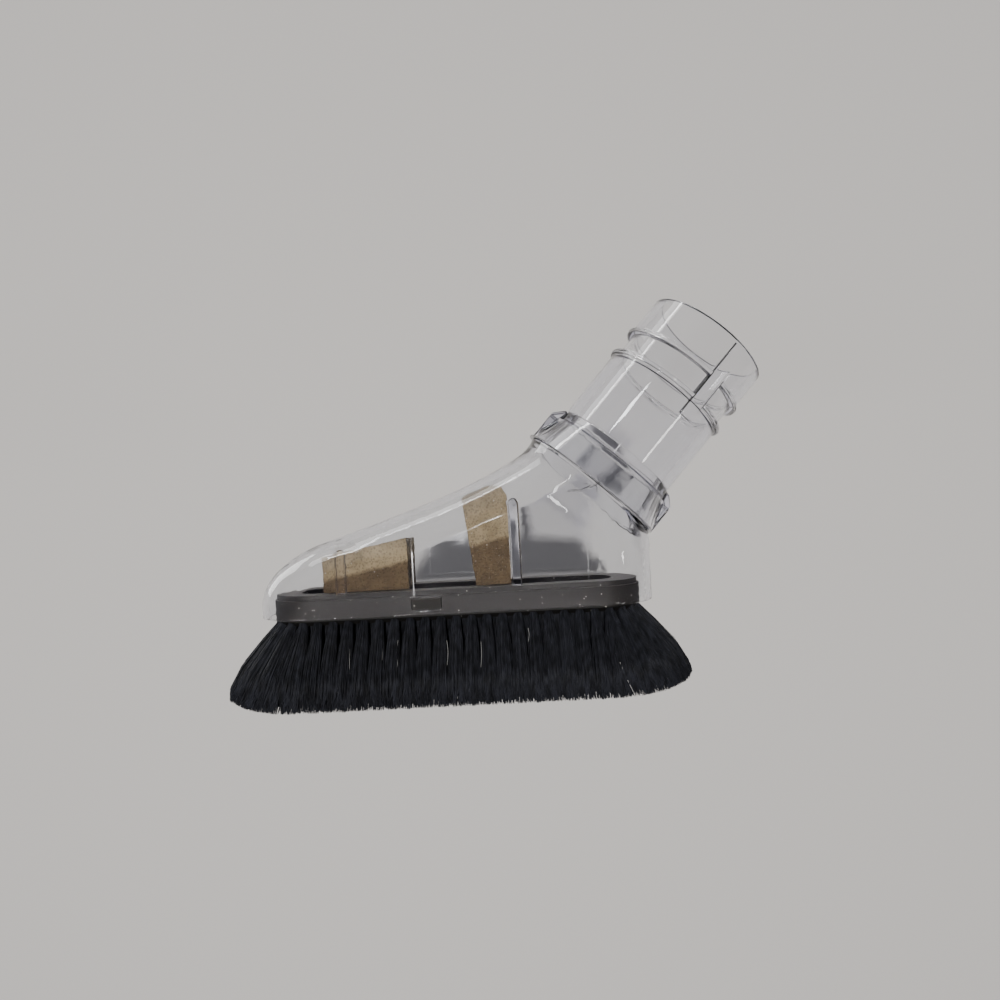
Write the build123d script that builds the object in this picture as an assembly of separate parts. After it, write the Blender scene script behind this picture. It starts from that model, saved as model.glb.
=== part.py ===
"""Clear dusting brush for a vacuum cleaner, standing on its bristle tips.

X runs from the toe to the neck, Y across the brush and Z upwards from the bristle tips. The
pieces are modelled with X = 0 at the middle of the housing and written with X = 0 at the
middle of the whole brush, so the origin lies on the floor under that middle. All lengths are
in millimetres.
"""
import os
from math import atan2, ceil, cos, degrees, hypot, pi, radians, sin, tan

from build123d import *

# Brush ring, with heights above its underside
root_z = 21.4
ring_step_rise = 6.9
ring_height = 8.3
ring_clearance = 0.2
ring_end_clearance = 1.8
ring_step = 0.5
ring_chamfer = 1.2
ring_band = 5.2
ring_end_band = 7.4
tab_clearance = 0.25
tab_proud = 0.6

# Housing
lip_rise = 1.9
body_half_length = 55.0
body_half_width = 13.8
wall = 1.8
roof_ratio = 0.78
toe_blend_angle = 8.0
flare_power = 5
rib_depth = 3.0
rib_width = 2.4
front_rib_from_toe = 24.4
front_rib_rise = 10.9
rear_rib_x = 16.9
rear_rib_rise = 23.2
window_x = -7.6
window_width = 8.1
window_rise = 1.3
window_height = 3.2

# Line of the housing's back, from the toe's end to the front edge of the rim, as distance from
# the toe's end and height above the lip. It is stretched to fit the rim's real place.
back_line = [
    (0.0, 3.9),
    (2.0, 9.5),
    (6.7, 14.4),
    (12.7, 18.0),
    (19.0, 20.3),
    (35.0, 25.4),
    (51.0, 30.9),
    (63.0, 35.8),
    (72.0, 40.3),
    (78.5, 46.6),
]

# Neck tube, with heights above the rim plane where neck and housing meet
neck_angle = 48.05
bore_radius = 15.9
bore_depth = 20.0
bore_step = 0.7
tube_wall = 2.1
neck_length = 52.7
neck_rib_proud = 0.9
neck_rib_width = 1.3
upper_rib_drop = 11.5
lower_rib_drop = 19.0
groove_depth = 1.0
pad_angle = 22.0
pad_width = 4.0
pad_drop = 1.1
pad_length = 23.6

# Round stub of the housing and the neck's collar around it
tube_step = 0.3
stub_taper = 1.9
stub_shoulder = 1.3
stub_length = 8.5
stub_ledge = 0.5
rim_rise = 32.6
rim_heel_gap = 0.45
lug_half_width = 4.2
lug_bottom = 3.6
lug_top_drop = 0.3
collar_length = 11.7
collar_top_lip = 0.5
collar_rim_lip = 1.1
pocket_side = 2.0
pocket_cover = 0.15
pocket_shoulder_drop = 3.1
pocket_top_drop = 0.4

# Bristle tufts and their holes. Each section of a tuft below the ring runs from an inner to an
# outer point, as reach from its row and height above the tips.
tuft_pitch = 4.2
tuft_gap = 0.12
tuft_clearance = 0.05
hole_depth = 3.0
outer_row_inset = 1.2
row_spacing = 2.7
outer_hole_radius = 1.4
inner_hole_radius = 1.0
outer_tilt = 14.0
inner_tilt = 3.0
outer_sections = [((6.6, 6.0), (13.7, 6.0)), ((9.8, 0.0), (14.8, 2.4))]
inner_sections = [((-0.5, 0.0), (11.2, 0.0))]

# Foam blocks, with heights above the ring's top
foam_clearance = 0.2
front_foam_from_toe = 18.9
front_foam_end_x = -12.4
front_foam_rise = (9.5, 14.3)
rear_foam_foot_x = (5.6, 15.5)
rear_foam_top = [(15.5, 24.7), (14.0, 26.8), (9.0, 26.8), (5.9, 25.9), (2.8, 23.6)]

# Fits between the pieces
seat_clearance = 0.15
edge_bevel = 0.35

# Levels and housing sizes that follow from the ones above
lip_z = root_z + lip_rise
ring_step_z = root_z + ring_step_rise
ring_top_z = root_z + ring_height
window_z = lip_z + window_rise
front_rib_x = front_rib_from_toe - body_half_length

# Radii of neck, stub and rim, built up from the bore
tube_radius = bore_radius + tube_wall
throat_radius = bore_radius - bore_step
neck_rib_radius = tube_radius + neck_rib_proud
groove_radius = tube_radius - groove_depth
stub_top_radius = tube_radius - tube_step
stub_base_radius = stub_top_radius + stub_taper
rim_radius = stub_base_radius + stub_shoulder
collar_top_radius = tube_radius + collar_top_lip
collar_rim_radius = rim_radius + collar_rim_lip
pocket_radius = rim_radius + pocket_cover

# Place of the rim, and a frame there whose Z runs up the neck and whose X points to the heel
rim_x = body_half_length - rim_heel_gap - rim_radius * sin(radians(neck_angle))
rim_z = lip_z + rim_rise
rim_angle = 90.0 - neck_angle
pivot_x = rim_x + rim_rise * tan(radians(neck_angle))
neck_frame = Plane(
    origin=(rim_x, 0, rim_z),
    x_dir=(sin(radians(neck_angle)), 0, -cos(radians(neck_angle))),
    z_dir=(cos(radians(neck_angle)), 0, sin(radians(neck_angle))),
)
rim_edge = neck_frame.from_local_coords(Vector(-rim_radius, 0, 0))
run_stretch = (rim_edge.X + body_half_length) / back_line[-1][0]
rise_stretch = (rim_edge.Z - lip_z) / back_line[-1][1]
back_points = [
    (along * run_stretch - body_half_length, rise * rise_stretch + lip_z) for along, rise in back_line
]

# Outline of the ring, its opening and its rows of tufts
ring_half_length = body_half_length - wall - ring_end_clearance
ring_half_width = body_half_width - wall - ring_clearance
ring_straight = 2 * (ring_half_length - ring_half_width)
opening_half_length = ring_half_length - ring_end_band
opening_half_width = ring_half_width - ring_band
outer_row_offset = ring_half_width - outer_row_inset
inner_row_offset = outer_row_offset - row_spacing
tufts_along = ceil(ring_straight / tuft_pitch)
tuft_step = ring_straight / tufts_along
tufts_around = 2 * ceil(pi * outer_row_offset / tuft_pitch / 2) + 1
tuft_turn = 180.0 / tufts_around

# The foam fits between the housing's ribs
foam_half_width = ring_half_width - rib_depth - foam_clearance

# Middle of the whole brush, from the toe's bristle tips to the neck's mouth
toe_end_x = -(ring_straight / 2 + outer_row_offset + outer_sections[-1][1][0])
mouth_end_x = neck_frame.from_local_coords(Vector(tube_radius, 0, neck_length)).X
middle_x = (toe_end_x + mouth_end_x) / 2


def fan_section(angle, front, rear, half_width, front_round, rear_round):
    """One closed section of the housing, in a plane that turns about the pivot line."""
    ray = radians(angle)
    plane = Plane(
        origin=(pivot_x, 0, lip_z),
        x_dir=(-cos(ray), 0, sin(ray)),
        z_dir=(-sin(ray), 0, -cos(ray)),
    )
    front_centre = front - front_round
    rear_centre = rear + rear_round
    outline = [
        EllipticalCenterArc((front_centre, 0), front_round, half_width, start_angle=-90, arc_size=180),
        Line((front_centre, half_width), (rear_centre, half_width)),
        EllipticalCenterArc((rear_centre, 0), rear_round, half_width, start_angle=90, arc_size=180),
        Line((rear_centre, -half_width), (front_centre, -half_width)),
    ]
    return plane * make_face(outline)


def body_form(inset, end_radius):
    """The housing's outer form, or a form inside it that ends in a narrower circle at the rim."""
    back = Spline([(-body_half_length, lip_z)] + back_points)
    plan_width = body_half_width - inset
    heel_reach = pivot_x - body_half_length
    sections = [fan_section(
        0, heel_reach + 2 * body_half_length - inset, heel_reach + inset,
        plan_width, plan_width, plan_width,
    )]
    for x, z in back_points[:-1]:
        angle = degrees(atan2(z - lip_z, pivot_x - x))
        flare = (angle / rim_angle) ** flare_power
        thickness = inset + (rim_radius - inset - end_radius) * flare
        slope = back.tangent_at(back.param_at_point((x, z)))
        crossing = sin(radians(degrees(atan2(slope.Y, slope.X)) + angle))
        roof = roof_ratio + (1 - roof_ratio) * max(0.0, 1 - angle / toe_blend_angle, flare)
        half_width = body_half_width + (rim_radius - body_half_width) * flare - thickness
        heel_round = plan_width / cos(radians(angle))
        rim_heel_round = plan_width / cos(radians(rim_angle))
        sections.append(fan_section(
            angle,
            hypot(pivot_x - x, z - lip_z) - thickness / crossing,
            (heel_reach + inset) / cos(radians(angle)),
            half_width,
            roof * half_width / crossing,
            heel_round + (end_radius - rim_heel_round) * flare,
        ))
    rim_reach = hypot(pivot_x - rim_x, rim_rise)
    sections.append(fan_section(
        rim_angle, rim_reach + end_radius, rim_reach - end_radius,
        end_radius, 0.99 * end_radius, 0.99 * end_radius,
    ))
    return loft(sections)


def inner_form(clearance):
    """The space inside the housing's wall, drawn in by a clearance."""
    return body_form(wall + clearance, stub_base_radius - wall - clearance)


def cone(bottom_radius, top_radius, bottom, top):
    """A solid cone about the neck axis, between two heights above the rim plane."""
    height = top - bottom
    frustum = Cone(bottom_radius, top_radius, height, align=(Align.CENTER, Align.CENTER, Align.MIN))
    return neck_frame * Pos(0, 0, bottom) * frustum


def drum(radius, bottom, top):
    """A solid cylinder about the neck axis, between two heights above the rim plane."""
    height = top - bottom
    return neck_frame * Pos(0, 0, bottom) * Cylinder(
        radius, height, align=(Align.CENTER, Align.CENTER, Align.MIN)
    )


def wall_rib(x, rise):
    """A flat rib with a round top that crosses the housing from side to side."""
    height = rise - rib_width / 2
    outline = Pos(x, ring_top_z + height / 2) * Rectangle(rib_width, height)
    outline += Pos(x, ring_top_z + height) * Circle(rib_width / 2)
    return extrude(Plane.XZ * outline, body_half_width + wall, both=True)


def both_sides(shape):
    """A shape about the neck axis and its copy turned half round, both set on the neck frame."""
    return [neck_frame * Rot(0, 0, side) * shape for side in (0, 180)]


def snap_block(reach, clearance):
    """A block from the neck axis outwards that makes a lug, or its window with a clearance."""
    bottom = lug_bottom - clearance
    top = stub_length - lug_top_drop + clearance
    return Pos(reach / 2, 0, (bottom + top) / 2) * Box(
        reach, 2 * (lug_half_width + clearance), top - bottom
    )


def housing():
    outer = body_form(0, rim_radius)
    shell = outer + cone(stub_base_radius, stub_top_radius, 0, stub_length)
    shell += both_sides(snap_block(rim_radius, 0))
    shell -= inner_form(0)
    shell -= cone(stub_base_radius - wall - stub_ledge, stub_top_radius - wall, 0, stub_length)
    passage = Pos(0, 0, ring_top_z) * Box(
        2 * body_half_length, 2 * (ring_half_width - rib_depth), 2 * (rim_z - ring_top_z)
    )
    for x, rise in ((front_rib_x, front_rib_rise), (rear_rib_x, rear_rib_rise)):
        shell += (wall_rib(x, rise) - passage) & outer
    shell -= Pos(window_x, 0, window_z + window_height / 2) * Box(
        window_width, 4 * body_half_width, window_height
    )
    return shell


def snap_pocket():
    """The raised cover over a lug, from the neck axis outwards, with a sloping top."""
    outline = make_face(Polyline([
        (0, seat_clearance),
        (pocket_radius, seat_clearance),
        (pocket_radius, collar_length - pocket_shoulder_drop),
        (collar_top_radius, collar_length - pocket_top_drop),
        (0, collar_length - pocket_top_drop),
    ], close=True))
    return extrude(Plane.XZ * outline, lug_half_width + pocket_side, both=True)


def neck_tube():
    tube = drum(tube_radius, 0, neck_length)
    tube += cone(collar_rim_radius, collar_top_radius, seat_clearance, collar_length)
    tube += both_sides(snap_pocket())
    upper_rib_height = neck_length - upper_rib_drop
    lower_rib_height = neck_length - lower_rib_drop
    for height in (upper_rib_height, lower_rib_height):
        rib = drum(neck_rib_radius, height - neck_rib_width / 2, height + neck_rib_width / 2)
        tube += chamfer(rib.edges().filter_by(GeomType.CIRCLE), edge_bevel)
    groove_top = upper_rib_height - neck_rib_width / 2
    groove_bottom = lower_rib_height + neck_rib_width / 2
    tube -= drum(neck_rib_radius, groove_bottom, groove_top) - drum(groove_radius, groove_bottom, groove_top)
    pad = Pos(neck_rib_radius / 2, 0, neck_length - pad_drop - pad_length / 2) * Box(
        neck_rib_radius, pad_width, pad_length
    )
    tube += neck_frame * Rot(0, 0, pad_angle - 90) * pad
    tube -= cone(
        stub_base_radius + seat_clearance, stub_top_radius + seat_clearance,
        0, stub_length + seat_clearance,
    )
    tube -= drum(throat_radius, 0, neck_length)
    tube -= drum(bore_radius, neck_length - bore_depth, neck_length)
    tube -= both_sides(snap_block(2 * collar_rim_radius, seat_clearance))
    return tube


def brush_ring():
    lower = extrude(SlotOverall(2 * ring_half_length, 2 * ring_half_width), ring_step_rise)
    lower = chamfer(lower.faces().sort_by(Axis.Z)[0].edges(), ring_chamfer)
    upper = extrude(
        SlotOverall(2 * (ring_half_length - ring_step), 2 * (ring_half_width - ring_step)),
        ring_height,
    )
    ring = lower + (upper - Box(4 * ring_half_length, 4 * ring_half_width, 2 * ring_step_rise))
    ring -= extrude(SlotOverall(2 * opening_half_length, 2 * opening_half_width), ring_height)
    ring = Pos(0, 0, root_z) * ring
    for hole_radius, tilt, places in (
        (outer_hole_radius, outer_tilt, outer_places), (inner_hole_radius, inner_tilt, inner_places)
    ):
        hexagon = RegularPolygon(hole_radius, 6, rotation=30)
        hole = extrude(hexagon, hole_depth, both=True)
        ring -= [
            Pos(x, y, root_z) * Rot(0, 0, normal) * Rot(0, -tilt, 0) * hole
            for x, y, normal, sector in places
        ]
    tab = Box(
        window_width - 2 * tab_clearance,
        2 * (body_half_width - tab_proud),
        window_height - 2 * tab_clearance,
    )
    tab -= Box(window_width, 2 * opening_half_width + wall, window_height)
    ring += Pos(window_x, 0, window_z + window_height / 2) * tab
    return ring


def row_places(offset, along, around):
    """Tuft places on a stadium line about the ring's middle, as (x, y, normal angle, sector)."""
    places = []
    for index in range(along):
        x = tuft_step * (index - (along - 1) / 2)
        places.append((x, -offset, -90.0, "near"))
        places.append((x, offset, 90.0, "far"))
    for index in range(around):
        turn = tuft_turn * (index - (around - 1) / 2)
        x = ring_straight / 2 + offset * cos(radians(turn))
        y = offset * sin(radians(turn))
        places.append((x, y, turn, "heel"))
        places.append((-x, y, 180.0 - turn, "toe"))
    return places


def tuft_outline(inner, outer, half_width):
    """A six-sided outline between an inner and an outer point of a tuft's middle plane."""
    middle = (inner + outer) * 0.5
    side = Vector(0, half_width, 0)
    return Wire.make_polygon([
        inner - side * 0.5, inner + side * 0.5, middle + side,
        outer + side * 0.5, outer - side * 0.5, middle - side,
    ])


def root_outline(radius, tilt, depth):
    """The outline of a tuft at a depth in its hole, a hexagon square to the hole."""
    centre = Vector(-depth * sin(radians(tilt)), 0, root_z + depth * cos(radians(tilt)))
    reach = radius * cos(radians(30))
    across = Vector(reach * cos(radians(tilt)), 0, reach * sin(radians(tilt)))
    return tuft_outline(centre - across, centre + across, radius)


def tuft(radius, tilt, sections, offset, on_bend):
    """One tuft at a place with its outward side along X, from its hole down to its tips."""
    outlines = [root_outline(radius, tilt, hole_depth - tuft_clearance), root_outline(radius, tilt, 0)]
    for inner, outer in sections:
        middle_reach = (inner[0] + outer[0]) / 2
        middle_height = (inner[1] + outer[1]) / 2
        if on_bend:
            full_width = (offset + middle_reach) * tan(radians(tuft_turn / 2)) - tuft_gap
        else:
            full_width = tuft_step / 2 - tuft_gap
        half_width = radius + (full_width - radius) * (1 - middle_height / root_z)
        outlines.append(tuft_outline(
            Vector(inner[0], 0, inner[1]), Vector(outer[0], 0, outer[1]), half_width
        ))
    return Solid.make_loft(outlines, ruled=True)


def tuft_row(hole_radius, tilt, sections, offset, places):
    """All tufts of one row, sorted into the four sectors of the ring."""
    radius = hole_radius - tuft_clearance / cos(radians(30))
    flank_tuft = tuft(radius, tilt, sections, offset, on_bend=False)
    bend_tuft = tuft(radius, tilt, sections, offset, on_bend=True)
    sectors = {"near": [], "far": [], "heel": [], "toe": []}
    for x, y, normal, sector in places:
        model = flank_tuft if sector in ("near", "far") else bend_tuft
        sectors[sector].append(Pos(x, y, 0) * Rot(0, 0, normal) * model)
    return sectors


def foam_block(outline):
    block = extrude(Plane.XZ * make_face(Polyline(outline, close=True)), foam_half_width, both=True)
    return block & inner_form(foam_clearance)


def front_foam():
    left_x = front_foam_from_toe - body_half_length
    right_x = front_foam_end_x
    left_z, right_z = (ring_top_z + rise for rise in front_foam_rise)
    return foam_block([(left_x, ring_top_z), (right_x, ring_top_z), (right_x, right_z), (left_x, left_z)])


def rear_foam():
    foot = [(x, ring_top_z) for x in rear_foam_foot_x]
    top = [(x, ring_top_z + rise) for x, rise in rear_foam_top]
    return foam_block(foot + top)


def write_part(shape, name):
    export_step(Pos(-middle_x, 0, 0) * shape, f"parts/{name}.step")


outer_places = row_places(outer_row_offset, tufts_along, tufts_around)
inner_places = row_places(inner_row_offset, tufts_along + 1, tufts_around - 1)
rows = {
    "outer": tuft_row(outer_hole_radius, outer_tilt, outer_sections, outer_row_offset, outer_places),
    "inner": tuft_row(inner_hole_radius, inner_tilt, inner_sections, inner_row_offset, inner_places),
}
os.makedirs("parts", exist_ok=True)
write_part(housing(), "housing")
write_part(neck_tube(), "neck_tube")
write_part(brush_ring(), "brush_ring")
write_part(front_foam(), "foam_block_front")
write_part(rear_foam(), "foam_block_rear")
for row, sectors in rows.items():
    for sector, tufts in sectors.items():
        write_part(Compound(tufts), f"tufts_{row}_{sector}")
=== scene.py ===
import math
import random

import bmesh
import bpy
from mathutils import Matrix, Vector, noise
from mathutils.bvhtree import BVHTree


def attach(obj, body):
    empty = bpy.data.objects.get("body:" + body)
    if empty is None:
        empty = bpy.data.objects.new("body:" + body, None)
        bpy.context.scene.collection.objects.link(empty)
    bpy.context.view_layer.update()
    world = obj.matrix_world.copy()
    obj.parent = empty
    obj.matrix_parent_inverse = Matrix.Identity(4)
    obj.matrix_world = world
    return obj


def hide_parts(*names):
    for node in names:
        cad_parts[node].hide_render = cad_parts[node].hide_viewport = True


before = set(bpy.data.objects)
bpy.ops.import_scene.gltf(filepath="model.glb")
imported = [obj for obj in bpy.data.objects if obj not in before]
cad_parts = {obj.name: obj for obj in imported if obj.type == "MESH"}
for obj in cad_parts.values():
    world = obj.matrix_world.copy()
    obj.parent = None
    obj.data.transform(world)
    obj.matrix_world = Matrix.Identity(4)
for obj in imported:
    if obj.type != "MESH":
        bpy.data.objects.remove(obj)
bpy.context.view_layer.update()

# Housing: the long clear shell with its round outlet, injection moulded in one piece from
# colourless plastic. The brush ring snaps into its mouth and the neck tube over its stub.
neck_angle = math.radians(48.05)
neck_axis = Vector((math.cos(neck_angle), 0, math.sin(neck_angle)))
rim_centre = Vector((0.056239, 0, 0.087657)) - neck_axis * 0.0527
joint_bottom, joint_top = -0.0015, 0.0125
window_middle, window_half_length = -0.0189, 0.0043
window_bottom, window_top, window_inner_side = 0.0244, 0.0280, 0.010
weld_distance, flat_angle, sharp_angle = 0.000002, math.radians(0.1), math.radians(28)
housing_rounding, tube_rounding = 0.00024, 0.00030
joint_rounding, window_rounding = 0.00013, 0.00045
seam_half_width = 0.00010
# Each seam has the direction across it, its distance along that, its bottom and its top.
housing_seams = [((1, 0, 0), 0.0248, 0.030, 0.0495), ((1, 0, 0), -0.0222, 0.022, 0.0530)]


def new_piece(name, bm):
    """The finished mesh becomes a new object in the scene."""
    mesh = bpy.data.meshes.new(name)
    bm.to_mesh(mesh)
    bm.free()
    piece = bpy.data.objects.new(name, mesh)
    bpy.context.scene.collection.objects.link(piece)
    return piece


def smooth(piece):
    """The piece is shaded without facets."""
    for face in piece.data.polygons:
        face.use_smooth = True


def edge_region(edge):
    """The part of the moulding that an edge belongs to: joint, window or rest."""
    middle = (edge.verts[0].co + edge.verts[1].co) / 2
    if joint_bottom < (middle - rim_centre).dot(neck_axis) < joint_top:
        return "joint"
    beside = abs(middle.x - window_middle) < window_half_length
    level = window_bottom < middle.z < window_top
    if beside and level and abs(middle.y) > window_inner_side:
        return "window"
    return "rest"


def moulded_edges(node, radius):
    """A copy of a solid with its sharp edges rounded, finer where neck and stub meet and
    softer round the snap windows."""
    bm = bmesh.new()
    bm.from_mesh(node.data)
    bmesh.ops.remove_doubles(bm, verts=bm.verts, dist=weld_distance)
    bmesh.ops.dissolve_limit(
        bm, angle_limit=flat_angle, use_dissolve_boundaries=False,
        verts=bm.verts, edges=bm.edges, delimit=set(),
    )
    roundings = {"joint": joint_rounding, "window": window_rounding, "rest": radius}
    for region, rounding in roundings.items():
        sharp = [
            edge for edge in bm.edges
            if edge_region(edge) == region and edge.calc_face_angle(0) > sharp_angle
        ]
        bmesh.ops.bevel(
            bm, geom=sharp, offset=rounding, offset_type="OFFSET", segments=2, profile=0.5,
            affect="EDGES", clamp_overlap=False, material=-1,
        )
    piece = new_piece(f"moulded_{node.name}", bm)
    smooth(piece)
    piece.modifiers.new("even_shading", "WEIGHTED_NORMAL")
    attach(piece, "root")
    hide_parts(node.name)
    return piece


def new_material(name):
    """An empty material and its shader, ready for its own nodes."""
    material = bpy.data.materials.new(name)
    material.use_nodes = True
    return material, material.node_tree.nodes["Principled BSDF"]


def dress(piece, material):
    """The piece wears one material all over."""
    piece.data.materials.clear()
    piece.data.materials.append(material)


def seam_line(nodes, links, place, across, distance, bottom, top):
    """A mask of one thin seam on the near side, at a distance along a direction."""
    along = nodes.new("ShaderNodeVectorMath")
    along.operation = "DOT_PRODUCT"
    along.inputs[1].default_value = across
    line = nodes.new("ShaderNodeMath")
    line.operation = "COMPARE"
    line.inputs[1].default_value = distance
    line.inputs[2].default_value = seam_half_width
    links.new(place.outputs["Object"], along.inputs[0])
    links.new(along.outputs["Value"], line.inputs[0])
    axes = nodes.new("ShaderNodeSeparateXYZ")
    links.new(place.outputs["Object"], axes.inputs["Vector"])
    mask = line.outputs["Value"]
    limits = (("Y", "LESS_THAN", 0), ("Z", "GREATER_THAN", bottom), ("Z", "LESS_THAN", top))
    for axis, operation, limit in limits:
        side = nodes.new("ShaderNodeMath")
        side.operation = operation
        side.inputs[1].default_value = limit
        both = nodes.new("ShaderNodeMath")
        both.operation = "MULTIPLY"
        links.new(axes.outputs[axis], side.inputs[0])
        links.new(mask, both.inputs[0])
        links.new(side.outputs["Value"], both.inputs[1])
        mask = both.outputs["Value"]
    return mask


def clear_plastic(name, flow_scale, tint, seams):
    """Clear moulded plastic with faint flow waves, seams and handling haze."""
    material, shader = new_material(name)
    nodes, links = material.node_tree.nodes, material.node_tree.links
    output = nodes["Material Output"]
    shader.inputs["Base Color"].default_value = (*tint, 1)
    shader.inputs["Transmission Weight"].default_value = 1.0
    shader.inputs["IOR"].default_value = 1.53
    place = nodes.new("ShaderNodeTexCoord")
    flow = nodes.new("ShaderNodeTexNoise")
    flow.inputs["Scale"].default_value = flow_scale
    flow.inputs["Detail"].default_value = 1.0
    ripple = nodes.new("ShaderNodeBump")
    ripple.inputs["Strength"].default_value = 0.05
    ripple.inputs["Distance"].default_value = 0.0006
    links.new(place.outputs["Object"], flow.inputs["Vector"])
    links.new(flow.outputs["Fac"], ripple.inputs["Height"])
    haze = nodes.new("ShaderNodeTexNoise")
    haze.inputs["Scale"].default_value = 90.0
    haze.inputs["Detail"].default_value = 4.0
    haze_range = nodes.new("ShaderNodeMapRange")
    haze_range.inputs["From Min"].default_value = 0.35
    haze_range.inputs["From Max"].default_value = 0.75
    haze_range.inputs["To Min"].default_value = 0.0
    haze_range.inputs["To Max"].default_value = 0.035
    links.new(place.outputs["Object"], haze.inputs["Vector"])
    links.new(haze.outputs["Fac"], haze_range.inputs["Value"])
    lines = [seam_line(nodes, links, place, *seam) for seam in seams]
    seam_mask = lines[0]
    for line in lines[1:]:
        joined = nodes.new("ShaderNodeMath")
        joined.operation = "MAXIMUM"
        links.new(seam_mask, joined.inputs[0])
        links.new(line, joined.inputs[1])
        seam_mask = joined.outputs["Value"]
    rough = nodes.new("ShaderNodeMath")
    rough.operation = "MULTIPLY_ADD"
    rough.inputs[1].default_value = 0.11
    links.new(seam_mask, rough.inputs[0])
    links.new(haze_range.outputs["Result"], rough.inputs[2])
    links.new(rough.outputs["Value"], shader.inputs["Roughness"])
    ridge = nodes.new("ShaderNodeBump")
    ridge.inputs["Strength"].default_value = 0.45
    ridge.inputs["Distance"].default_value = 0.00008
    links.new(seam_mask, ridge.inputs["Height"])
    links.new(ripple.outputs["Normal"], ridge.inputs["Normal"])
    links.new(ridge.outputs["Normal"], shader.inputs["Normal"])
    # Rays of soft light and of shadow pass straight through the wall.
    light_path = nodes.new("ShaderNodeLightPath")
    passing = nodes.new("ShaderNodeBsdfTransparent")
    passing.inputs["Color"].default_value = (0.93, 0.93, 0.93, 1)
    surface = shader.outputs["BSDF"]
    for ray in ("Is Diffuse Ray", "Is Shadow Ray"):
        choice = nodes.new("ShaderNodeMixShader")
        links.new(light_path.outputs[ray], choice.inputs["Fac"])
        links.new(surface, choice.inputs[1])
        links.new(passing.outputs["BSDF"], choice.inputs[2])
        surface = choice.outputs["Shader"]
    links.new(surface, output.inputs["Surface"])
    depth_tint = nodes.new("ShaderNodeVolumeAbsorption")
    depth_tint.inputs["Color"].default_value = (0.80, 0.80, 1.0, 1)
    depth_tint.inputs["Density"].default_value = 40.0
    links.new(depth_tint.outputs["Volume"], output.inputs["Volume"])
    return material


housing = moulded_edges(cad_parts["housing"], housing_rounding)
dress(housing, clear_plastic("clear_housing_plastic", 38.0, (0.965, 0.97, 0.97), housing_seams))

# Neck tube: a clear moulded tube with two raised rings, a groove between them and a flared
# collar whose windows snap over the two lugs of the housing's stub.
neck_seam = ((math.sin(neck_angle), 0, -math.cos(neck_angle)), -0.01833, 0.0, 0.0905)
neck_tube = moulded_edges(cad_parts["neck_tube"], tube_rounding)
dress(neck_tube, clear_plastic("clear_neck_plastic", 30.0, (0.965, 0.968, 0.975), [neck_seam]))

# Brush ring: dark grey satin plastic, moulded as an oval frame with the tuft holes in its
# underside and a snap tab on each flank. Fine pale dust lies on it.
brush_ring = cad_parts["brush_ring"]


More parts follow.
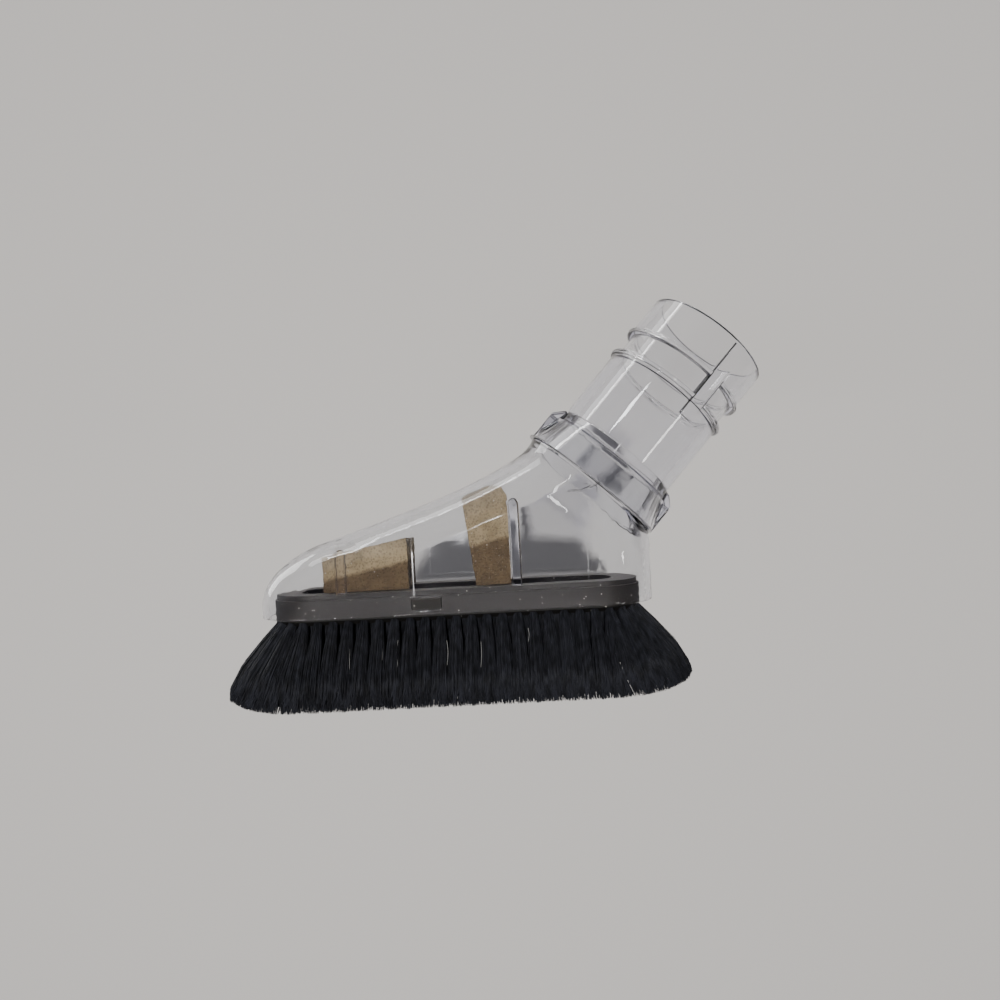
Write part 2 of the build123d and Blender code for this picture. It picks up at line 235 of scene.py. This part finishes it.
def ring_plastic():
    """Dark warm grey plastic with a fine moulded grain and pale dust specks. Faces turned
    upwards are painted paler, a painted light on its top, and it is darker below the housing's
    lip."""
    material, shader = new_material("dark_ring_plastic")
    nodes, links = material.node_tree.nodes, material.node_tree.links
    place = nodes.new("ShaderNodeTexCoord")
    cloud = nodes.new("ShaderNodeTexNoise")
    cloud.inputs["Scale"].default_value = 55.0
    cloud.inputs["Detail"].default_value = 5.0
    shade = nodes.new("ShaderNodeValToRGB")
    shade.color_ramp.elements[0].color = (0.0085, 0.0072, 0.0064, 1)
    shade.color_ramp.elements[1].color = (0.0160, 0.0140, 0.0128, 1)
    dust = nodes.new("ShaderNodeTexVoronoi")
    dust.inputs["Scale"].default_value = 420.0
    speck = nodes.new("ShaderNodeMath")
    speck.operation = "LESS_THAN"
    speck.inputs[1].default_value = 0.07
    dusty = nodes.new("ShaderNodeMix")
    dusty.data_type = "RGBA"
    dusty.inputs["B"].default_value = (0.42, 0.40, 0.37, 1)
    facing = nodes.new("ShaderNodeNewGeometry")
    upward = nodes.new("ShaderNodeSeparateXYZ")
    # Painted light: faces turned upwards are painted paler, towards a pale warm grey.
    upward_light_share = nodes.new("ShaderNodeMapRange")
    upward_light_share.inputs["From Min"].default_value = 0.3
    upward_light_share.inputs["To Max"].default_value = 0.85
    top_painted_light = nodes.new("ShaderNodeMix")
    top_painted_light.data_type = "RGBA"
    top_painted_light.inputs["B"].default_value = (0.30, 0.28, 0.26, 1)
    height = nodes.new("ShaderNodeSeparateXYZ")
    # Below the housing's lip the ring's colour is scaled down to about a fifth.
    below_lip_darkening = nodes.new("ShaderNodeMapRange")
    below_lip_darkening.inputs["From Min"].default_value = 0.0228
    below_lip_darkening.inputs["From Max"].default_value = 0.0234
    below_lip_darkening.inputs["To Min"].default_value = 0.22
    darkened_below_lip = nodes.new("ShaderNodeVectorMath")
    darkened_below_lip.operation = "SCALE"
    grain = nodes.new("ShaderNodeTexNoise")
    grain.inputs["Scale"].default_value = 900.0
    grain.inputs["Detail"].default_value = 2.0
    relief = nodes.new("ShaderNodeBump")
    relief.inputs["Strength"].default_value = 0.12
    relief.inputs["Distance"].default_value = 0.0001
    shine = nodes.new("ShaderNodeMapRange")
    shine.inputs["To Min"].default_value = 0.58
    shine.inputs["To Max"].default_value = 0.70
    for texture in (cloud, dust, grain):
        links.new(place.outputs["Object"], texture.inputs["Vector"])
    links.new(cloud.outputs["Fac"], shade.inputs["Fac"])
    links.new(facing.outputs["Normal"], upward.inputs["Vector"])
    links.new(upward.outputs["Z"], upward_light_share.inputs["Value"])
    links.new(upward_light_share.outputs["Result"], top_painted_light.inputs["Factor"])
    links.new(place.outputs["Object"], height.inputs["Vector"])
    links.new(height.outputs["Z"], below_lip_darkening.inputs["Value"])
    links.new(shade.outputs["Color"], darkened_below_lip.inputs[0])
    links.new(below_lip_darkening.outputs["Result"], darkened_below_lip.inputs["Scale"])
    links.new(darkened_below_lip.outputs["Vector"], top_painted_light.inputs["A"])
    links.new(dust.outputs["Distance"], speck.inputs[0])
    links.new(top_painted_light.outputs["Result"], dusty.inputs["A"])
    links.new(speck.outputs["Value"], dusty.inputs["Factor"])
    links.new(dusty.outputs["Result"], shader.inputs["Base Color"])
    links.new(cloud.outputs["Fac"], shine.inputs["Value"])
    links.new(shine.outputs["Result"], shader.inputs["Roughness"])
    links.new(grain.outputs["Fac"], relief.inputs["Height"])
    links.new(relief.outputs["Normal"], shader.inputs["Normal"])
    shader.inputs["Specular IOR Level"].default_value = 0.16
    return material


dress(brush_ring, ring_plastic())

# Bristle tufts: bundles of thin black nylon filaments, folded and set in the ring's holes in
# an outer and an inner row, splayed outwards and trimmed to one length on the machine.
ring_straight = 0.0792
tuft_step = ring_straight / 19
tuft_turn = math.radians(20)
root_height = 0.0214
middle_shift = 0.0113111
outer_row_offset = 0.0106
inner_row_offset = 0.0079
bend_seed_step, bend_count_factor = 50, 2


def filament(bm, points, radius, spin):
    """One three-sided filament, extruded through the points from its root to its tip."""
    facing = (points[2] - points[0]).to_track_quat("Z", "Y").to_matrix().to_4x4()
    circle = bmesh.ops.create_circle(
        bm, segments=3, radius=radius,
        matrix=Matrix.Translation(points[0]) @ facing @ Matrix.Rotation(spin, 4, "Z"),
    )
    ring = list({edge for vert in circle["verts"] for edge in vert.link_edges})
    for here, ahead in zip(points, points[1:]):
        grown = bmesh.ops.extrude_edge_only(bm, edges=ring)["geom"]
        verts = [part for part in grown if isinstance(part, bmesh.types.BMVert)]
        bmesh.ops.translate(bm, verts=verts, vec=ahead - here)
        ring = [part for part in grown if isinstance(part, bmesh.types.BMEdge)
                and all(vert in verts for vert in part.verts)]
    bmesh.ops.contextual_create(bm, geom=ring)


def tuft_model(seed, count, root_radius, tilt, trim, half_width):
    """A mesh of one tuft. trim is the line of the tips, from the inner to the outer side."""
    hole_fill, seat_depth = 0.9, 0.0026
    fan, fan_jitter, fan_power = 1.15, 0.12, 0.55
    cut_jitter, sway_out, sway_side, bulge_out = 0.00035, 0.00022, 0.00025, 0.0005
    thinnest, thickest, most_spin = 0.00007, 0.000095, 6.28
    bends = ((0.30, 0.6), (0.68, 1.0))
    chance = random.Random(seed)
    bm = bmesh.new()
    for _ in range(count):
        while True:
            across, side = chance.uniform(-1, 1), chance.uniform(-1, 1)
            if across * across + side * side < 1:
                break
        root = Vector((
            root_radius * hole_fill * across * math.cos(tilt),
            root_radius * hole_fill * side,
            root_height + root_radius * hole_fill * across * math.sin(tilt),
        ))
        seat = root + Vector((-math.sin(tilt), 0, math.cos(tilt))) * seat_depth
        place = (across + 1) / 2 * (len(trim) - 1)
        first = min(int(place), len(trim) - 2)
        share = place - first
        tip = Vector((
            trim[first][0] + (trim[first + 1][0] - trim[first][0]) * share,
            half_width * max(-1, min(1, side * fan + chance.gauss(0, fan_jitter))),
            trim[first][1] + (trim[first + 1][1] - trim[first][1]) * share,
        ))
        tip += (root - tip).normalized() * abs(chance.gauss(0, cut_jitter))
        sway = Vector((chance.gauss(0, sway_out), chance.gauss(0, sway_side), 0))
        bulge = Vector((bulge_out, 0, 0)) * (1 + across)
        points = [seat, root]
        for share, strength in bends:
            point = root.lerp(tip, share) + sway * strength + bulge * strength
            point.y = root.y + (tip.y - root.y) * share ** fan_power + sway.y * strength
            points.append(point)
        points.append(tip)
        filament(bm, points, chance.uniform(thinnest, thickest), chance.uniform(0, most_spin))
    mesh = bpy.data.meshes.new("tuft_model")
    bm.to_mesh(mesh)
    bm.free()
    return mesh


def bristle_nylon():
    """Black nylon with a cool sheen, a little lighter from filament to filament."""
    material, shader = new_material("black_bristle_nylon")
    nodes, links = material.node_tree.nodes, material.node_tree.links
    place = nodes.new("ShaderNodeTexCoord")
    fibres = nodes.new("ShaderNodeTexNoise")
    fibres.inputs["Scale"].default_value = 700.0
    fibres.inputs["Detail"].default_value = 1.0
    stretch = nodes.new("ShaderNodeMapping")
    stretch.inputs["Scale"].default_value = (1, 1, 0.12)
    shade = nodes.new("ShaderNodeValToRGB")
    shade.color_ramp.elements[0].position = 0.35
    shade.color_ramp.elements[0].color = (0.0064, 0.0067, 0.0086, 1)
    shade.color_ramp.elements[1].position = 0.7
    shade.color_ramp.elements[1].color = (0.0190, 0.0200, 0.0262, 1)
    links.new(place.outputs["Object"], stretch.inputs["Vector"])
    links.new(stretch.outputs["Vector"], fibres.inputs["Vector"])
    links.new(fibres.outputs["Fac"], shade.inputs["Fac"])
    links.new(shade.outputs["Color"], shader.inputs["Base Color"])
    shader.inputs["Roughness"].default_value = 0.55
    shader.inputs["Specular IOR Level"].default_value = 0.14
    return material


def bristle_row(row, offset, along, around, seeds, count, root_radius, tilt, trim):
    """All tufts of a row, one piece for each of the ring's four sectors."""
    middle_reach = (trim[0][0] + trim[-1][0]) / 2
    bend_width = (offset + middle_reach) * math.tan(tuft_turn / 2)
    flank = [
        tuft_model(seed, count, root_radius, tilt, trim, tuft_step / 2) for seed in seeds
    ]
    bend = [
        tuft_model(
            seed + bend_seed_step, count * bend_count_factor, root_radius, tilt, trim, bend_width,
        )
        for seed in seeds
    ]
    sectors = {"near": [], "far": [], "heel": [], "toe": []}
    for index in range(along):
        x = tuft_step * (index - (along - 1) / 2)
        sectors["near"].append((x, -offset, -math.pi / 2))
        sectors["far"].append((x, offset, math.pi / 2))
    for index in range(around):
        turn = tuft_turn * (index - (around - 1) / 2)
        x = ring_straight / 2 + offset * math.cos(turn)
        y = offset * math.sin(turn)
        sectors["heel"].append((x, y, turn))
        sectors["toe"].append((-x, y, math.pi - turn))
    for sector, places in sectors.items():
        bm = bmesh.new()
        models = flank if sector in ("near", "far") else bend
        for index, (x, y, normal) in enumerate(places):
            start = len(bm.verts)
            bm.from_mesh(models[index % len(models)])
            bm.verts.ensure_lookup_table()
            place = Matrix.Translation((x - middle_shift, y, 0)) @ Matrix.Rotation(normal, 4, "Z")
            bmesh.ops.transform(bm, matrix=place, verts=bm.verts[start:])
        piece = new_piece(f"bristles_{row}_{sector}", bm)
        dress(piece, nylon)
        smooth(piece)
        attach(piece, "root")
        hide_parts(f"tufts_{row}_{sector}")


nylon = bristle_nylon()
bristle_row(
    "outer", outer_row_offset, 19, 9, (11, 12, 13, 14), 210, 0.00134, math.radians(14),
    [(0.0100, 0.0002), (0.0126, 0.0011), (0.0145, 0.0025), (0.0143, 0.0042), (0.0136, 0.0060)],
)
bristle_row(
    "inner", inner_row_offset, 20, 8, (31, 32, 33), 110, 0.00094, math.radians(3),
    [(0.0000, 0.0001), (0.0108, 0.0001)],
)

# Foam blocks: two tan open-pored blocks, cut by hand with a knife and pressed in between the
# housing's walls, with rough cut faces and pores of up to a millimetre.


def foam_material():
    """Tan open-pored foam, blotchy, with a painted shadow that darkens and browns its lower part.
    """
    material, shader = new_material("tan_foam")
    nodes, links = material.node_tree.nodes, material.node_tree.links
    place = nodes.new("ShaderNodeTexCoord")
    blotch = nodes.new("ShaderNodeTexNoise")
    blotch.inputs["Scale"].default_value = 160.0
    blotch.inputs["Detail"].default_value = 6.0
    shade = nodes.new("ShaderNodeValToRGB")
    shade.color_ramp.elements[0].position = 0.3
    shade.color_ramp.elements[0].color = (0.155, 0.112, 0.058, 1)
    shade.color_ramp.elements[1].position = 0.72
    shade.color_ramp.elements[1].color = (0.345, 0.268, 0.158, 1)
    pores = nodes.new("ShaderNodeTexVoronoi")
    pores.inputs["Scale"].default_value = 1500.0
    depth = nodes.new("ShaderNodeMapRange")
    depth.inputs["From Max"].default_value = 0.5
    # Painted shade: the foam is painted up to half as bright towards the middle of each pore.
    pore_painted_shade = nodes.new("ShaderNodeMix")
    pore_painted_shade.data_type = "RGBA"
    pore_painted_shade.blend_type = "MULTIPLY"
    pore_painted_shade.inputs["Factor"].default_value = 0.5
    relief = nodes.new("ShaderNodeBump")
    relief.inputs["Strength"].default_value = 0.8
    relief.inputs["Distance"].default_value = 0.0003
    # Painted shadow: below a slanted, ragged edge the foam colour is multiplied by a deeper tan.
    level = nodes.new("ShaderNodeVectorMath")
    level.operation = "DOT_PRODUCT"
    level.inputs[1].default_value = (-0.19, 0, 1.0)
    ragged = nodes.new("ShaderNodeTexNoise")
    ragged.inputs["Scale"].default_value = 500.0
    ragged_shadow_edge = nodes.new("ShaderNodeMath")
    ragged_shadow_edge.operation = "MULTIPLY_ADD"
    ragged_shadow_edge.inputs[1].default_value = 0.0016
    above_shadow_edge = nodes.new("ShaderNodeMapRange")
    above_shadow_edge.inputs["From Min"].default_value = 0.0424
    above_shadow_edge.inputs["From Max"].default_value = 0.0434
    painted_shadow = nodes.new("ShaderNodeMix")
    painted_shadow.data_type = "RGBA"
    painted_shadow.blend_type = "MULTIPLY"
    painted_shadow.inputs["B"].default_value = (0.33, 0.28, 0.23, 1)
    painted_shadow_share = nodes.new("ShaderNodeMath")
    painted_shadow_share.operation = "SUBTRACT"
    painted_shadow_share.inputs[0].default_value = 1.0
    for texture in (blotch, pores, level, ragged):
        links.new(place.outputs["Object"], texture.inputs[0])
    links.new(ragged.outputs["Fac"], ragged_shadow_edge.inputs[0])
    links.new(level.outputs["Value"], ragged_shadow_edge.inputs[2])
    links.new(ragged_shadow_edge.outputs["Value"], above_shadow_edge.inputs["Value"])
    links.new(above_shadow_edge.outputs["Result"], painted_shadow_share.inputs[1])
    links.new(painted_shadow_share.outputs["Value"], painted_shadow.inputs["Factor"])
    links.new(shade.outputs["Color"], painted_shadow.inputs["A"])
    links.new(blotch.outputs["Fac"], shade.inputs["Fac"])
    links.new(pores.outputs["Distance"], depth.inputs["Value"])
    links.new(painted_shadow.outputs["Result"], pore_painted_shade.inputs["A"])
    links.new(depth.outputs["Result"], pore_painted_shade.inputs["B"])
    links.new(pore_painted_shade.outputs["Result"], shader.inputs["Base Color"])
    links.new(depth.outputs["Result"], relief.inputs["Height"])
    links.new(relief.outputs["Normal"], shader.inputs["Normal"])
    shader.inputs["Roughness"].default_value = 0.95
    return material


def foam_block(side):
    """One block on a fine grid, its faces wavy from the knife and pitted with open pores."""
    weld, cell_size, skin = 0.00001, 0.00026, 0.00012
    knife_waves = ((140, 0.00022), (420, 0.00010))
    pore_pitch, pore_depth = 1050, 0.0011
    pore_size, size_spread, size_pitch = 0.34, 0.26, 600
    bm = bmesh.new()
    bm.from_mesh(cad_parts[f"foam_block_{side}"].data)
    bmesh.ops.remove_doubles(bm, verts=bm.verts, dist=weld)
    piece = new_piece(f"porous_foam_{side}", bm)
    grid = piece.modifiers.new("grid", "REMESH")
    grid.mode = "VOXEL"
    grid.voxel_size = cell_size
    shown = piece.evaluated_get(bpy.context.evaluated_depsgraph_get())
    fine = bpy.data.meshes.new_from_object(shown)
    piece.modifiers.clear()
    piece.data = fine
    moves = []
    for vert in fine.vertices:
        wave = sum(noise.noise(vert.co * pitch) * height for pitch, height in knife_waves)
        cell = noise.voronoi(vert.co * pore_pitch)[0][0]
        size = pore_size + size_spread * noise.noise(vert.co * size_pitch)
        pit = max(0.0, size - cell) * pore_depth
        moves.append(vert.normal * (-skin - abs(wave) - pit))
    for vert, move in zip(fine.vertices, moves):
        vert.co += move
    smooth(piece)
    dress(piece, tan_foam)
    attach(piece, "root")
    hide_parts(f"foam_block_{side}")


tan_foam = foam_material()
for side in ("front", "rear"):
    foam_block(side)

# Lint: a few pale household fibres of a tenth of a millimetre, picked up in use and caught
# among the bristles of the near side.
lint_ends = [
    ((-0.0393, -0.0166, 0.0158), (-0.0387, -0.0210, 0.0102)),
    ((-0.0310, -0.0152, 0.0175), (-0.0306, -0.0189, 0.0129)),
    ((-0.0267, -0.0154, 0.0173), (-0.0264, -0.0202, 0.0112)),
    ((-0.0138, -0.0158, 0.0167), (-0.0137, -0.0203, 0.0111)),
    ((-0.0048, -0.0165, 0.0159), (-0.0050, -0.0210, 0.0103)),
    ((0.0078, -0.0143, 0.0185), (0.0076, -0.0168, 0.0155)),
    ((0.0307, -0.0213, 0.0098), (0.0334, -0.0253, 0.0025)),
]
lint_steps, lint_curl, lint_radius = 6, 0.0003, 0.00005
lint_shares = [step / lint_steps for step in range(lint_steps + 1)]


def matt_material(name, colour, roughness):
    """A matt material of one even colour."""
    material, shader = new_material(name)
    shader.inputs["Base Color"].default_value = (*colour, 1)
    shader.inputs["Roughness"].default_value = roughness
    return material


bm = bmesh.new()
chance = random.Random(71)
for start, end in lint_ends:
    curl = Vector((chance.uniform(-lint_curl, lint_curl), 0, 0))
    points = [
        Vector(start).lerp(Vector(end), share) + curl * math.sin(math.pi * share)
        for share in lint_shares
    ]
    filament(bm, points, lint_radius, 0.0)
lint_fibres = new_piece("lint_fibres", bm)
dress(lint_fibres, matt_material("pale_lint", (0.50, 0.49, 0.47), 0.9))
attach(lint_fibres, "root")

# Dust: pale specks of household dust, settled on the near side of the housing.
# Each is a flat flake on the clear plastic.
speck_tries, speck_lift, steepest_facing = 170, 0.00002, -0.5
speck_x, speck_z, before_housing = (-0.065, 0.045), (0.022, 0.062), -0.05
speck_radius, radius_spread = 0.00006, 0.00010
bm = bmesh.new()
chance = random.Random(72)
shape = bmesh.new()
shape.from_mesh(housing.data)
shell = BVHTree.FromBMesh(shape)
shape.free()
for _ in range(speck_tries):
    where = Vector((chance.uniform(*speck_x), before_housing, chance.uniform(*speck_z)))
    place, out = shell.ray_cast(where, Vector((0, 1, 0)))[:2]
    if place is None or out.y > steepest_facing:
        continue
    flat = out.to_track_quat("Z", "Y").to_matrix().to_4x4()
    bmesh.ops.create_circle(
        bm, cap_ends=True, segments=5, radius=speck_radius + radius_spread * chance.random() ** 2,
        matrix=Matrix.Translation(place + out * speck_lift) @ flat,
    )
dust_specks = new_piece("dust_specks", bm)
dress(dust_specks, matt_material("pale_dust", (0.45, 0.44, 0.42), 0.95))
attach(dust_specks, "root")

# Table top: the pale surface that the brush lies on in the photograph, which stands upright
# behind it in this frame.
table_distance, table_half_size = 0.34, 12
bm = bmesh.new()
bmesh.ops.create_grid(
    bm, x_segments=2, y_segments=2, size=table_half_size,
    matrix=Matrix.Translation((0, table_distance, 0)) @ Matrix.Rotation(math.radians(90), 4, "X"),
)
table_top = new_piece("table_top", bm)
surface = matt_material("pale_table_top", (0.62, 0.60, 0.58), 0.6)
surface.node_tree.nodes["Principled BSDF"].inputs["Specular IOR Level"].default_value = 0.0
dress(table_top, surface)

# Light: a room that is pale at the upper left and dark grey at the lower right, with a
# ceiling lamp behind the camera. The panels show only as reflections.
world = bpy.data.worlds.new("dim_room")
bpy.context.scene.world = world
world.use_nodes = True
nodes, links = world.node_tree.nodes, world.node_tree.links
room = nodes["Background"]
direction = nodes.new("ShaderNodeTexCoord")
towards = nodes.new("ShaderNodeVectorMath")
towards.operation = "DOT_PRODUCT"
towards.inputs[1].default_value = Vector((-0.55, -0.30, 0.78)).normalized()
shades = nodes.new("ShaderNodeValToRGB")
shades.color_ramp.elements[0].position = 0.0
shades.color_ramp.elements[0].color = (0.050, 0.049, 0.062, 1)
shades.color_ramp.elements[1].position = 1.0
shades.color_ramp.elements[1].color = (0.60, 0.62, 0.64, 1)
for position, colour in (
    (0.35, (0.066, 0.064, 0.085, 1)), (0.6, (0.14, 0.14, 0.17, 1)), (0.8, (0.38, 0.39, 0.41, 1)),
):
    shades.color_ramp.elements.new(position).color = colour
links.new(direction.outputs["Generated"], towards.inputs[0])
links.new(towards.outputs["Value"], shades.inputs["Fac"])
links.new(shades.outputs["Color"], room.inputs["Color"])
room.inputs["Strength"].default_value = 0.75


def lamp(name, place, target, along, size, power, colour=(1, 1, 1), only_reflected=False):
    """A rectangular lamp that faces the target, with its longer side along a direction."""
    data = bpy.data.lights.new(name, "AREA")
    data.shape = "RECTANGLE"
    data.size, data.size_y = size
    data.energy = power
    data.color = colour
    back = (Vector(place) - Vector(target)).normalized()
    upright = (Vector(along) - back * back.dot(Vector(along))).normalized()
    level = upright.cross(back)
    source = bpy.data.objects.new(name, data)
    source.location = place
    source.rotation_euler = Matrix((level, upright, back)).transposed().to_euler()
    source.visible_camera = False
    source.visible_diffuse = not only_reflected
    source.visible_transmission = False
    bpy.context.scene.collection.objects.link(source)


lamp(
    "room_lamp", (-0.136, -2.5, 0.05), (0, 0, 0.05), (0, 0, 1),
    (0.08, 0.08), 80.0, (1, 0.985, 0.96),
)
lamp(
    "long_lamp", (0.594, -0.653, -0.213), (0.043, 0, 0.068), neck_axis,
    (0.05, 0.13), 0.5, (1, 0.98, 0.95),
)
lamp(
    "window_panel", (-0.063, -0.297, 0.260), (0.037, 0, 0.076), (0, 0, 1),
    (0.03, 0.03), 0.12, (0.95, 0.97, 1), only_reflected=True,
)
lamp(
    "shoulder_strip", (-0.300, -0.570, -0.220), (0.018, 0, 0.052), (1, 0, 0),
    (0.03, 0.45), 0.9,
)
lamp(
    "back_panel", (-0.500, 0.280, 0.300), (0, 0, 0.055), (0, 0, 1),
    (0.34, 0.40), 2.4, only_reflected=True,
)
lamp(
    "top_line_panel", (-0.050, -0.030, 0.480), (0, 0, 0.050), (1, 0, 0),
    (0.02, 0.50), 0.9, only_reflected=True,
)
lamp(
    "top_panel", (-0.050, 0.010, 0.500), (0, 0, 0.050), (1, 0, 0),
    (0.16, 0.70), 1.6, only_reflected=True,
)

# Camera: straight above the brush in the photograph, which is level with it in this frame.
camera_data = bpy.data.cameras.new("photo_camera")
camera_data.lens = 27.04
camera_data.sensor_width = 36.0
camera = bpy.data.objects.new("photo_camera", camera_data)
camera.location = (0.002089, -0.214, 0.0529)
camera.rotation_euler = (math.radians(90), math.radians(2.9), 0)
bpy.context.scene.collection.objects.link(camera)
bpy.context.scene.camera = camera
